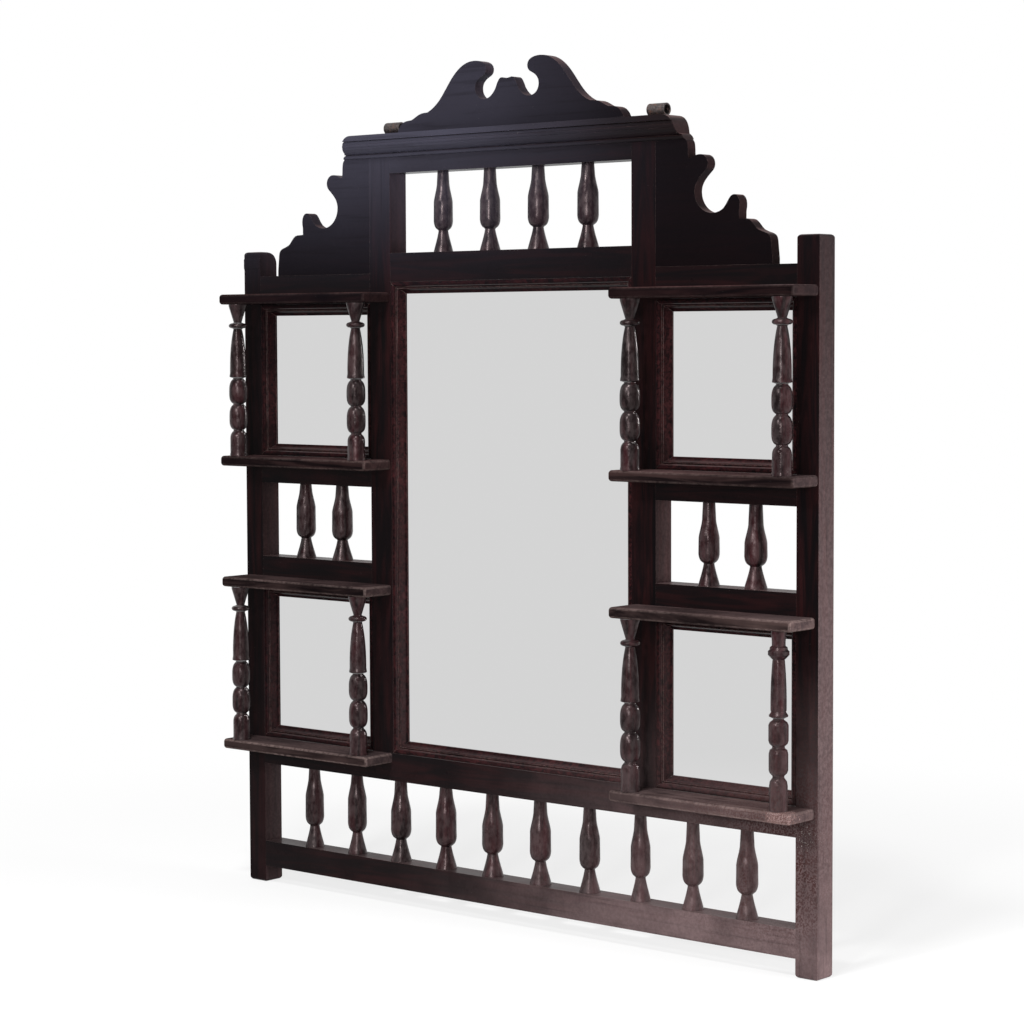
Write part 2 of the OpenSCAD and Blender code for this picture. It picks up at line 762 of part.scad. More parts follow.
// Outline of a scroll board beside its stile, drawn 177 wide and 155.5 high
function scroll_outline() = concat(
    [[0, 155.5]],
    bend([46, 155.5], [50.5, 152.5], [50, 147], [50.5, 136], 8),
    [[51, 131.5]],
    bend([53, 131.6], [57, 132.2], [60, 135.6], [67, 135.8], 6),
    arc([69, 124.4], 11.4, 11.4, 90, -42, 12),
    bend([76.5, 115.8], [68.5, 108.5], [60.4, 102], [60.2, 91], 10),
    arc([87.7, 91], 27.5, 27.2, 190, 306, 16),
    bend([105.5, 71], [110.5, 76], [112.5, 84], [118.5, 85.2], 6),
    bend([120, 85.3], [124, 86], [131.5, 80], [127.6, 65.2], 8),
    [[127.5, 56]],
    bend([139, 55.5], [147, 54.5], [150.5, 45], [156, 42], 7),
    bend([162, 39.5], [168, 37.5], [174, 37], [174.8, 28.3], 7),
    [[177, 7], [177, 0], [0, 0]]
);

module scroll_board(side) {
    on_side(side) color(wood) difference() {
        translate([stile_outer, 0, bay_header_top]) through_y(0, scroll_thickness)
            polygon(fitted(scroll_outline(), scroll_width / 177, scroll_height / 155.5));
        dowel_set(scroll_dowels, joint_gap);
    }
}

// Section of the cornice: out from the frame's face and up from its underside, drawn 16 and 30.5.
// A small bead lies under a large rounded moulding with two fine reed lines, and a fillet on top
function cornice_section() = concat(
    [[0, 0]],
    arc([-0.6, 2.6], 2.6, 2.6, 265, 110, 8),
    [[-1.2, 5.6]],
    bend([-4.6, 6], [-8.5, 8.5], [-11.2, 11], [-12.2, 14], 6),
    [[-11.9, 14.4]],
    bend([-12.5, 14.9], [-13.2, 16], [-13.5, 17.2], [-13.5, 18.1], 4),
    [[-13.1, 18.5]],
    bend([-13.6, 19], [-14, 20], [-14, 21.5], [-13.4, 22.4], 4),
    [[-12, 22.8], [-16, 23.2], [-16, 30.5], [0, 30.5]]
);

// Outline of the cornice's end beside its stile, rounded down to the scroll board, drawn 46 wide
// and 30.5 high
function cornice_end() = concat(
    bend([46, 0], [44.5, 3.5], [42.5, 6], [39.5, 7.5], 4),
    bend([39.2, 9], [38, 18], [35.5, 30.5], [20, 30.5], 12)
);

// Front outline of the cornice
module cornice_front() {
    drawn = fitted(cornice_end(), cornice_overhang / 46, cornice_height / 30.5);
    right = [for (p = drawn) [stile_outer + p[0], cornice_z + p[1]]];
    polygon(concat(right, [for (i = [len(right) - 1 : -1 : 0]) [-right[i][0], right[i][1]]]));
}

module cornice() {
    end = stile_outer + cornice_overhang;
    placed() color(wood) difference() {
        intersection() {
            union() {
                through_x(-end, end) translate([sliver, cornice_z])
                    polygon(fitted(cornice_section(), cornice_projection / 16, cornice_height / 30.5));
                block(-end, end, 0, board_thickness, cornice_z, cornice_top);
            }
            through_y(-2 * cornice_projection, board_thickness + 1) cornice_front();
        }
        dowel_set(top_rail_dowels, joint_gap);
        dowel_set(crest_dowels, joint_gap);
        for (side = [0, 1]) {
            mirror([side, 0, 0]) dowel_set(scroll_dowels, joint_gap);
        }
    }
}

// Right half of the crest's outline from its end to the middle, drawn 191 wide and 88 high
function crest_half() = concat(
    bend([191, 0], [188.5, 8], [184, 14.5], [175, 16], 6),
    bend([166, 16.8], [160, 18.5], [153, 24.8], [144, 25.2], 6),
    bend([137, 25.6], [124, 31], [115, 40], [107, 51], 8),
    bend([105, 53.5], [97, 63.5], [82, 88], [56, 88], 12),
    bend([56, 88], [46, 88], [36, 85.5], [34.8, 77.5], 7),
    bend([34.8, 77.5], [34.5, 73], [36, 70.5], [39.5, 68.3], 4),
    bend([39.5, 68.3], [47, 65], [53.5, 61], [53.5, 52.5], 7),
    bend([53.5, 52.5], [53.5, 44], [47, 37.5], [38, 37.5], 7),
    bend([38, 37.5], [28, 37.5], [23, 44], [19, 50], 6),
    bend([17.4, 53.6], [14.6, 60], [12, 64], [8, 63.6], 5),
    [[0, 62]]
);

module crest() {
    half = crest_half();
    other_half = [for (i = [len(half) - 2 : -1 : 0]) [-half[i][0], half[i][1]]];
    y0 = board_thickness - crest_thickness;
    placed() color(wood) difference() {
        translate([0, 0, cornice_top]) through_y(y0, board_thickness)
            polygon(fitted(concat(half, other_half), crest_half_width / 191, crest_height / 88));
        dowel_set(crest_dowels, joint_gap);
    }
}

module dowels() {
    placed() color(board_brown) {
        dowel_set(top_rail_dowels);
        dowel_set(crest_dowels);
        for (side = [0, 1]) {
            mirror([side, 0, 0]) dowel_set(scroll_dowels);
        }
    }
}

// Hangers and screws

// The hanger screws of one side. grow opens the hole
module hanger_screw_set(grow = 0) {
    head = 2 * hanger_screw_diameter;
    head_depth = hanger_screw_diameter / 2;
    tip_y = frame_thickness - hanger_screw_length;
    for (z = hanger_screw_z) {
        rod_y(stile_centre, z, tip_y - grow, frame_thickness, hanger_screw_diameter + 2 * grow);
        translate([stile_centre, frame_thickness, z]) rotate([90, 0, 0])
            cylinder(h = head_depth + grow, d1 = head + 2 * grow, d2 = hanger_screw_diameter);
    }
}

module hanger(side) {
    x0 = stile_centre - strap_width / 2;
    x1 = stile_centre + strap_width / 2;
    on_side(side) color(iron) difference() {
        union() {
            block(x0, x1, frame_thickness - strap_thickness, frame_thickness, strap_foot_z, eye_z);
            rod_x(eye_y, eye_z, x0, x1, 2 * eye_radius);
        }
        rod_x(eye_y, eye_z, x0 - 1, x1 + 1, eye_bore);
        hanger_screw_set(joint_gap);
    }
}

module hanger_screws() {
    placed() color(steel) for (side = [0, 1]) {
        mirror([side, 0, 0]) hanger_screw_set();
    }
}

module shelf_screws() {
    placed() color(steel) for (side = [0, 1]) {
        mirror([side, 0, 0]) for (level = [0 : 3]) shelf_screw_pair(level);
    }
}

for (side = [0, 1]) {
    post(side);
    stile(side);
    bay_header(side);
    upper_bay_rail(side);
    lower_bay_rail(side);
    scroll_board(side);
    hanger(side);
    for (i = [0 : 3]) {
        shelf(side, i);
        column(side, floor(i / 2), i % 2);
    }
    for (i = [0, 1]) {
        side_mirror(side, i);
        side_moulding(side, i);
    }
    for (i = [0 : bay_spindle_count - 1]) {
        bay_spindle(side, i);
    }
}
for (i = [0 : top_spindle_count - 1]) {
    top_spindle(i);
}
bottom_rail();
mirror_rail();
centre_header();
top_rail();
bottom_spindles();
centre_moulding();
centre_mirror();
backing_boards();
backing_brads();
cornice();
crest();
dowels();
hanger_screws();
shelf_screws();
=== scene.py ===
"""Looks of the carved wall mirror: finishes, soft arrises, light and the photo's view."""
import math

import bpy
from mathutils import Matrix, Vector

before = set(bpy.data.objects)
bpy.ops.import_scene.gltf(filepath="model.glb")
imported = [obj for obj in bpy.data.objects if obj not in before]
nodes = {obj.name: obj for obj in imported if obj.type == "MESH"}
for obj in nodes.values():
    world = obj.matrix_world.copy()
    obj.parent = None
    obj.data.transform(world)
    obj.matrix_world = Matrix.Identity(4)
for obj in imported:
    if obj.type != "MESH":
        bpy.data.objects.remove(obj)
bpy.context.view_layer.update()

# Camera, as fitted to the frame's corners in the photo: metres, angles, and millimetres for the lens
CAMERA_PLACE = Vector((2.3349, -2.6901, 0.7767))
CAMERA_YAW = math.radians(40.787)
CAMERA_PITCH = math.radians(3.683)
CAMERA_ROLL = math.radians(-0.221)
CAMERA_LENS = 96.21
CAMERA_SENSOR = 36.0

# Wood under its lacquer, linear colours
ESPRESSO = (0.0030, 0.0020, 0.0024, 1)
CORNICE_BODY = (0.0044, 0.0027, 0.0023, 1)
TURNED_BODY = (0.0032, 0.0018, 0.0021, 1)
PORES = (0.0030, 0.0025, 0.0025, 1)
RED_STAIN = (0.0200, 0.0052, 0.0055, 1)
THIN_STAIN = (0.0460, 0.0120, 0.0130, 1)
TURNED_STAIN = (0.0420, 0.0100, 0.0125, 1)

# What age has left on it, and painted light: a bluish reflection, light on right-hand faces, sheen on
# top faces and highlights along arrises
BLUISH_REFLECTION = (0.0360, 0.0345, 0.0490, 1)
DUST_AND_LIGHT = (0.1600, 0.1110, 0.1120, 1)
DUST_AND_LIGHT_HIGH = (0.1500, 0.0740, 0.0720, 1)
CRAZED = (0.0380, 0.0150, 0.0140, 1)
WORN_AND_GLINT = (0.2200, 0.1600, 0.1480, 1)
BARE_WOOD = (0.1100, 0.0500, 0.0440, 1)
BARE_PALE = (0.3000, 0.2100, 0.2000, 1)
FLECK = (0.5500, 0.5000, 0.4700, 1)

# Glass, backing and metal
SILVER = (0.6600, 0.6600, 0.6600, 1)
SILVER_DULL = (0.4200, 0.4100, 0.4000, 1)
BOARD = (0.1700, 0.0980, 0.0520, 1)
BOARD_DARK = (0.0850, 0.0480, 0.0260, 1)
IRON = (0.0300, 0.0240, 0.0230, 1)
IRON_PALE = (0.0850, 0.0720, 0.0710, 1)
RUST = (0.0550, 0.0210, 0.0120, 1)
STEEL = (0.3000, 0.2800, 0.2600, 1)

# Tints of the lacquer's shine
WHITE = (1, 1, 1, 1)
WARM = (1.0000, 0.8000, 0.8000, 1)

# Strength of the white background, and of the light that comes from all round
BACKGROUND = 1.0
AMBIENT = 0.42

# The floor's side in metres and its grey. Between the two distances of FLOOR_FADE, in metres from
# the middle, its share of the background's white goes from one value of FLOOR_WHITE to the other
FLOOR_SIDE = 60
FLOOR_GREY = (0.88, 0.88, 0.88, 1)
FLOOR_FADE = (0.5, 1.6)
FLOOR_WHITE = (0.70, 1.0)

# Widths of the softened arrises in metres, and the least angle between the faces of an arris
POST_ARRIS = 0.0015
BOARD_ARRIS = 0.0012
RAIL_ARRIS = 0.0010
IRON_ARRIS = 0.0005
FINE_ARRIS = 0.0004
ARRIS_ANGLE = math.radians(32)

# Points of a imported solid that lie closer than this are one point, in metres
WELD_REACH = 0.00001

# Places where the finish is rubbed or chipped, on a shelf and on a post: centre and reach in metres
SHELF_CORNER = ((0.468, -0.043, 0.202), 0.024)
POST_CHIP = ((0.472, -0.010, 0.172), 0.024)

# The span that holds most values of a noise
BROAD = (0.3, 0.7)

# Words in the names of nodes and the finish they stand for. The first that fits counts
FINISH_WORDS = (
    ("screws", "steel"), ("brads", "steel"), ("dowels", "dowel"), ("backing", "backing"),
    ("column", "turned"), ("spindle", "turned"), ("moulding", "moulded"), ("shelf", "shelf"),
    ("post", "post"), ("stile", "post"), ("rail", "rail"), ("header", "rail"),
    ("scroll_board", "board"), ("crest", "board"), ("cornice", "cornice"),
    ("mirror", "glass"), ("hanger", "iron"))

# The photo's mirrors show plain grey, so the pieces that stand before them leave no image there
UNMIRRORED_WORDS = ("_moulding", "column", "shelf")


class Nodes:
    """A short way to write a node tree: values go into sockets, and sockets are linked."""

    def __init__(self, tree):
        self.tree = tree
        tree.nodes.clear()

    def add(self, kind, settings=None, **sockets):
        """Adds a node. A socket goes by its name, or by its number after an i."""
        node = self.tree.nodes.new(kind)
        for name, value in (settings or {}).items():
            setattr(node, name, value)
        for name, value in sockets.items():
            numbered = name[0] == "i" and name[1:].isdigit()
            self.put(node.inputs[int(name[1:]) if numbered else name.replace("_", " ")], value)
        return node

    def put(self, socket, value):
        if isinstance(value, bpy.types.NodeSocket):
            self.tree.links.new(value, socket)
        else:
            socket.default_value = value

    def math(self, operation, a, b=0.0):
        return self.add("ShaderNodeMath", {"operation": operation}, i0=a, i1=b).outputs[0]

    def times(self, *factors):
        product = factors[0]
        for factor in factors[1:]:
            product = self.math("MULTIPLY", product, factor)
        return product

    def ramp(self, value, span, share=(0.0, 1.0)):
        """Turns a value between the ends of span into one between the ends of share."""
        node = self.add("ShaderNodeMapRange", {"interpolation_type": "SMOOTHSTEP"}, Value=value)
        for name, number in zip(("From Min", "From Max", "To Min", "To Max"), (*span, *share)):
            self.put(node.inputs[name], number)
        return node.outputs[0]

    def mix(self, factor, a, b):
        return self.add("ShaderNodeMix", {"data_type": "RGBA"}, i0=factor, i6=a, i7=b).outputs[2]

    def place(self):
        return self.add("ShaderNodeTexCoord").outputs["Object"]

    def noise(self, place, scale, detail, roughness, distortion=0.0):
        """Noise with about scale bumps to the metre, in all directions or given for each axis."""
        if not isinstance(scale, float):
            place, scale = self.add("ShaderNodeMapping", Vector=place, Scale=scale).outputs[0], 1.0
        node = self.add("ShaderNodeTexNoise", Vector=place, Scale=scale, Detail=detail,
                        Roughness=roughness, Distortion=distortion)
        return node.outputs["Fac"]

    def near(self, place, spot, rough):
        """1 at a spot's centre and 0 beyond its reach, with an edge broken up by rough."""
        centre, reach = spot
        far = self.add("ShaderNodeVectorMath", {"operation": "DISTANCE"}, i0=place, i1=centre)
        far = self.times(far.outputs["Value"], self.ramp(rough, BROAD, (0.6, 1.5)))
        return self.ramp(far, (reach, 0.45 * reach))

    def bump(self, height, depth, strength, normal=None):
        """Relief up to depth metres deep, over the relief that normal holds."""
        node = self.add("ShaderNodeBump", Height=height, Distance=depth, Strength=strength)
        if normal is not None:
            self.put(node.inputs["Normal"], normal)
        return node.outputs[0]

    def finish(self, **sockets):
        """Adds the shader and the output."""
        shader = self.add("ShaderNodeBsdfPrincipled", **sockets)
        self.add("ShaderNodeOutputMaterial", Surface=shader.outputs[0])


def new_material(name):
    material = bpy.data.materials.new(name)
    material.use_nodes = True
    return material, Nodes(material.node_tree)


def along_grain(grain, across, along):
    """A noise's scale on each axis, so that it runs along the grain."""
    return tuple(along if axis == grain else across for axis in "XYZ")


class WoodFinish:
    """Layers of finish on wood, as nodes. A layer is the share of the surface that it covers.

    Places are in metres, with x to the right and z up from the feet. A span of places runs from
    where a change begins to where it is full."""

    def __init__(self, n, grain):
        self.n = n
        self.at = n.place()
        at = n.add("ShaderNodeSeparateXYZ", Vector=self.at)
        self.x, self.z = at.outputs[0], at.outputs[2]
        normal = n.add("ShaderNodeNewGeometry").outputs["Normal"]
        self.facing = n.add("ShaderNodeSeparateXYZ", Vector=normal).outputs

        # Noises that follow the grain. Without a grain of its own the figure is fine and even
        figure_scale = along_grain(grain, across=60.0, along=5.0) if grain else (170.0, 170.0, 170.0)
        pore_scale = along_grain(grain, across=190.0, along=7.0)
        self.figure = n.noise(self.at, figure_scale, detail=4.0, roughness=0.6, distortion=1.4)
        self.pore = n.noise(self.at, pore_scale, detail=4.0, roughness=0.6, distortion=0.3)

        # Noises that don't, from coarse to fine
        self.cloud = n.noise(self.at, 3.1, detail=2.0, roughness=0.5)
        self.mottle = n.noise(self.at, 11.0, detail=3.0, roughness=0.6)
        self.grit = n.noise(self.at, 260.0, detail=2.0, roughness=0.6)
        self.speck = n.noise(self.at, 620.0, detail=2.0, roughness=0.7)

    def stain(self, red):
        """Red-brown stain that shows through in long streaks, least at the top and on the left."""
        n = self.n
        streaks = n.ramp(self.figure, (0.36, 0.66))
        patches = n.ramp(self.mottle, (0.25, 0.7), (0.4, 1.0))
        lower = n.ramp(self.z, (0.98, 0.70), (0.7 * red, 2 * red))
        rightward = n.ramp(self.x, (-0.48, -0.10), (0.6, 1.0))
        return n.times(streaks, patches, lower, rightward)

    def bluish_reflection(self, reflection_strength):
        """A painted bluish reflection on the lacquer, strongest at the top left."""
        n = self.n
        high = n.ramp(self.z, (0.80, 1.08))
        leftward = n.ramp(self.x, (0.30, -0.28), (0.05 * reflection_strength, reflection_strength))
        return n.times(high, leftward, n.ramp(self.cloud, BROAD, (0.65, 1.0)))

    def dust_and_light(self, film_share, right_face_share):
        """A paler film, strongest at the bottom right, on right-hand faces and on top faces. On
        right-hand faces it is painted light with some dust, on top faces dust and painted sheen."""
        n = self.n
        low = n.ramp(self.z, (0.42, 0.02))
        slanting = n.math("SUBTRACT", self.x, n.times(self.z, 0.8))
        rightward = n.ramp(slanting, (-0.27, 0.42), (0.03, 0.35 + 0.65 * film_share))
        film = n.times(low, rightward, n.ramp(self.mottle, (0.28, 0.66), (0.55, 1.0)))
        lying = n.math("MAXIMUM", self.right_face_light_and_dust(right_face_share), self.top_face_dust_and_sheen())
        lying = n.times(lying, n.ramp(self.grit, BROAD, (0.75, 1.0)), film_share)
        thickest = 0.82
        film = n.math("MINIMUM", n.math("MAXIMUM", film, lying), thickest)
        return n.times(film, n.ramp(self.grit, BROAD, (0.82, 1.0)))

    def right_face_light_and_dust(self, right_face_share):
        """Painted light on right-hand faces, with some dust: stronger towards the floor, and most on
        the right post.
        """
        n = self.n
        facing_right = n.ramp(self.facing[0], (0.55, 0.98))
        lower = n.ramp(self.z, (1.0, 0.1), (0.14, 0.72))
        right_post = n.ramp(self.x, (0.36, 0.47), (0.62 * right_face_share, right_face_share))
        rightward = n.ramp(self.x, (-0.48, -0.20), (0.5, 1.0))
        return n.times(facing_right, lower, right_post, rightward)

    def top_face_dust_and_sheen(self):
        """Dust and painted sheen on top faces, in patches."""
        n = self.n
        facing_up = n.ramp(self.facing[2], (0.60, 0.98))
        patches = n.ramp(self.mottle, (0.3, 0.6), (0.22, 0.50))
        rightward = n.ramp(self.x, (-0.40, 0.35), (0.65, 1.0))
        return n.times(facing_up, patches, rightward)

    def dust_and_light_colour(self):
        """The pale film is browner high up, apart from the right post's outer face."""
        n = self.n
        brown = n.times(n.ramp(self.z, (0.25, 0.85)), n.ramp(self.x, (0.46, 0.40)))
        return n.mix(brown, DUST_AND_LIGHT, DUST_AND_LIGHT_HIGH)

    def crazing(self):
        """Specks where the finish has crazed, by the right foot and least on right-hand faces."""
        n = self.n
        rightward = n.ramp(self.x, (0.2, 0.46))
        low = n.ramp(self.z, (0.40, 0.16))
        over_the_foot = n.ramp(self.z, (0.03, 0.09), (0.25, 1.0))
        near_foot = n.times(rightward, low, over_the_foot)
        specks = n.ramp(n.noise(self.at, 420.0, detail=2.0, roughness=0.7), (0.44, 0.58))
        patches = n.ramp(self.mottle, (0.34, 0.56), (0.50, 1.0))
        facing_front = n.ramp(self.facing[0], (0.9, 0.4), (0.30, 1.0))
        return n.times(specks, near_foot, patches, facing_front)

    def pores(self):
        """Pores are darker than the wood between them."""
        return self.n.ramp(self.pore, (0.50, 0.28), (0.0, 0.28))

    def rubbing_and_glint(self):
        """Rubbed finish, and painted highlight along arrises, finely broken up."""
        n = self.n
        fine = n.ramp(self.grit, (0.30, 0.62), (0.25, 1.0))
        patches = n.ramp(self.mottle, BROAD, (0.35, 1.0))
        return n.times(fine, patches)

    def handling(self):
        """Wear all over a shelf, in streaks, the lower ones and the right-hand ones most."""
        n = self.n
        lower = n.ramp(self.z, (0.85, 0.20), (0.02, 0.20))
        rightward = n.ramp(self.x, (-0.40, 0.40), (0.5, 1.0))
        streaks = n.ramp(self.figure, (0.38, 0.62), (0.10, 1.0))
        patches = n.ramp(self.mottle, (0.3, 0.65), (0.4, 1.0))
        return n.times(lower, rightward, streaks, patches)

    def round_edge_wear_and_glint(self):
        """Rubbed finish and painted highlight along rounded edges, between the faces that lie square
        to the axes, the lower ones most.
        """
        n = self.n
        square_x, square_y, square_z = (n.math("ABSOLUTE", part) for part in self.facing)
        square = n.math("MAXIMUM", n.math("MAXIMUM", square_x, square_y), square_z)
        rounded = n.ramp(square, (0.985, 0.86))
        lower = n.ramp(self.z, (0.80, 0.20), (0.10, 0.85))
        return n.times(rounded, self.rubbing_and_glint(), lower)

    def bare_corner(self):
        """The corner of the lowest right shelf, rubbed down to the wood."""
        strength = 0.55
        return self.n.times(self.n.near(self.at, SHELF_CORNER, self.grit), strength)

    def bare_colour(self):
        """Bare wood, with paler specks."""
        return self.n.mix(self.n.ramp(self.speck, (0.42, 0.60)), BARE_WOOD, BARE_PALE)

    def flecks(self):
        """Fine pale flecks, and more of them round the chip on the right post."""
        n = self.n
        scattered = n.times(n.ramp(self.speck, (0.735, 0.76)), n.ramp(self.grit, (0.55, 0.7)))
        chip = n.times(n.ramp(self.speck, (0.57, 0.62)), n.near(self.at, POST_CHIP, self.grit))
        strength = 0.5
        return n.times(n.math("MAXIMUM", scattered, chip), strength)

    def roughness(self, film, wear_and_glint):
        """Lacquer under the pale film, and where rubbed through, is duller."""
        n = self.n
        lacquer = n.ramp(self.mottle, (0.25, 0.75), (0.24, 0.36))
        under_film = n.math("ADD", lacquer, n.times(film, 0.25))
        return n.math("ADD", under_film, 0.10 * wear_and_glint)

    def relief(self):
        """Slow waves, the open pores and fine grit, as a bumped normal."""
        n = self.n
        normal = n.bump(self.cloud, depth=0.0030, strength=0.25)
        normal = n.bump(self.pore, depth=0.00016, strength=0.55, normal=normal)
        return n.bump(self.grit, depth=0.00005, strength=0.6, normal=normal)

    def turning_marks(self, normal):
        """Fine rings from the lathe, over the relief that normal holds."""
        rings = self.n.noise(self.at, (30.0, 30.0, 620.0), detail=3.0, roughness=0.6)
        return self.n.bump(rings, depth=0.00020, strength=0.6, normal=normal)

    def broken_shine(self, shine):
        """Turned lacquer is worn in patches, so its shine is broken up."""
        patches = self.n.noise(self.at, (150.0, 150.0, 75.0), detail=3.0, roughness=0.65)
        return self.n.ramp(patches, (0.34, 0.66), (0.3 * shine, 1.6 * shine))


def wood(name, grain, red, body=ESPRESSO, stain=RED_STAIN, reflection_strength=1.0, film_share=1.0, right_face_share=1.0,
         wear_and_glint=0.0, rounding=0.0, shine=0.03, lathe=False):
    """Stained and lacquered wood, with painted light in its finish: a bluish reflection, light on
    right-hand faces, sheen on top faces and highlights along arrises.

    grain: the axis that the grain runs along, or nothing where two directions share a node
    red: share of the stain that shows over the body colour
    reflection_strength: strength of the painted bluish reflection
    film_share, right_face_share: share of the pale film of dust with painted light and sheen, and how
    much of that share right-hand faces keep
    wear_and_glint: how far the finish is rubbed through, with painted highlight along arrises, from 0
    to 1
    rounding: the same rubbing, with painted highlight, on rounded edges alone, for shelves, which are
    rubbed all over as well
    shine: the lacquer's specular level
    lathe: True adds turning marks and breaks up the shine"""
    material, n = new_material(name)
    layers = WoodFinish(n, grain)
    colour = n.mix(layers.stain(red), body, stain)
    # Painted bluish reflection, strongest at the top left
    colour = n.mix(layers.bluish_reflection(reflection_strength), colour, BLUISH_REFLECTION)
    # Pale film: painted light on right-hand faces, dust and painted sheen on top faces
    film = layers.dust_and_light(film_share, right_face_share)
    colour = n.mix(film, colour, layers.dust_and_light_colour())
    colour = n.mix(layers.crazing(), colour, CRAZED)
    colour = n.mix(layers.pores(), colour, PORES)
    # Edge materials: rubbed finish with painted highlight along the arris
    if wear_and_glint > 0:
        colour = n.mix(n.times(layers.rubbing_and_glint(), wear_and_glint), colour, WORN_AND_GLINT)
    if rounding > 0:
        colour = n.mix(layers.handling(), colour, WORN_AND_GLINT)
        # Rubbed rounded edges with painted highlight
        colour = n.mix(n.times(layers.round_edge_wear_and_glint(), rounding), colour, WORN_AND_GLINT)
        colour = n.mix(layers.bare_corner(), colour, layers.bare_colour())
    colour = n.mix(layers.flecks(), colour, FLECK)

    normal = layers.relief()
    if lathe:
        normal = layers.turning_marks(normal)
        shine = layers.broken_shine(shine)
    n.finish(Base_Color=colour, Roughness=layers.roughness(film, wear_and_glint), Normal=normal,
             Specular_IOR_Level=shine, Specular_Tint=WARM if lathe else WHITE)
    return material


def mirror_glass():
    """Old silvered glass with a few dull spots."""
    material, n = new_material("mirror_glass")
    place = n.place()
    spots = n.noise(place, 85.0, detail=4.0, roughness=0.7)
    haze = n.noise(place, 6.0, detail=2.0, roughness=0.5)
    colour = n.mix(n.times(n.ramp(spots, (0.70, 0.78)), 0.35), SILVER, SILVER_DULL)
    n.finish(Base_Color=colour, Roughness=n.ramp(haze, BROAD, (0.015, 0.035)), Metallic=1.0)
    return material


def backing_wood():
    """Unfinished backing board, browned by age."""
    material, n = new_material("backing_wood")
    place = n.place()
    grain_scale = along_grain("Z", across=90.0, along=5.0)
    streak = n.noise(place, grain_scale, detail=4.0, roughness=0.6, distortion=0.4)
    patch = n.noise(place, 5.0, detail=4.0, roughness=0.6)
    colour = n.mix(n.ramp(streak, BROAD), BOARD_DARK, BOARD)
    colour = n.mix(n.ramp(patch, (0.5, 0.75), (0.0, 0.6)), colour, BOARD_DARK)
    normal = n.bump(streak, depth=0.0003, strength=0.5)
    n.finish(Base_Color=colour, Roughness=0.8, Normal=normal, Specular_IOR_Level=0.2)
    return material


def hanger_iron():
    """Worn plated iron with rust breaking through."""
    material, n = new_material("hanger_iron")
    place = n.place()
    patch = n.noise(place, 150.0, detail=4.0, roughness=0.65)
    pit = n.noise(place, 520.0, detail=3.0, roughness=0.7)
    rusty = n.times(n.ramp(patch, (0.50, 0.62)), n.ramp(pit, (0.35, 0.6), (0.5, 1.0)))
    colour = n.mix(n.ramp(pit, (0.35, 0.65)), IRON, IRON_PALE)
    colour = n.mix(rusty, colour, RUST)
    gloss = n.ramp(patch, BROAD, (0.38, 0.72))
    metal = n.ramp(rusty, (0.0, 0.6), (0.75, 0.1))
    normal = n.bump(pit, depth=0.0003, strength=0.6)
    n.finish(Base_Color=colour, Roughness=gloss, Metallic=metal, Normal=normal)
    return material


def screw_steel():
    """Dull steel, a little brown."""
    material, n = new_material("screw_steel")
    patch = n.noise(n.place(), 400.0, detail=3.0, roughness=0.6)
    colour = n.mix(n.ramp(patch, (0.45, 0.7)), STEEL, RUST)
    gloss = n.ramp(patch, BROAD, (0.35, 0.6))
    normal = n.bump(patch, depth=0.0002, strength=0.4)
    n.finish(Base_Color=colour, Roughness=gloss, Metallic=0.8, Normal=normal)
    return material


def welded_smooth():
    """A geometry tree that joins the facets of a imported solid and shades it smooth."""
    tree = bpy.data.node_groups.new("welded_smooth", "GeometryNodeTree")
    tree.interface.new_socket("Geometry", in_out="INPUT", socket_type="NodeSocketGeometry")
    tree.interface.new_socket("Geometry", in_out="OUTPUT", socket_type="NodeSocketGeometry")
    n = Nodes(tree)
    source = n.add("NodeGroupInput").outputs[0]
    weld = n.add("GeometryNodeMergeByDistance", Geometry=source, Distance=WELD_REACH)
    smooth = n.add("GeometryNodeSetShadeSmooth", Geometry=weld.outputs[0])
    n.add("NodeGroupOutput", i0=smooth.outputs[0])
    return tree


def soften(piece, welding, width, segments):
    """Rounds a CAD piece's arrises by modifiers and gives them its second material."""
    weld = piece.modifiers.new("weld", "NODES")
    weld.node_group = welding
    bevel = piece.modifiers.new("arris", "BEVEL")
    bevel.width = width
    bevel.segments = segments
    bevel.limit_method = "ANGLE"
    bevel.angle_limit = ARRIS_ANGLE
    bevel.use_clamp_overlap = True
    bevel.material = 1
    bevel.miter_outer = "MITER_ARC"
    normals = piece.modifiers.new("normals", "WEIGHTED_NORMAL")
    normals.keep_sharp = False
    normals.weight = 60


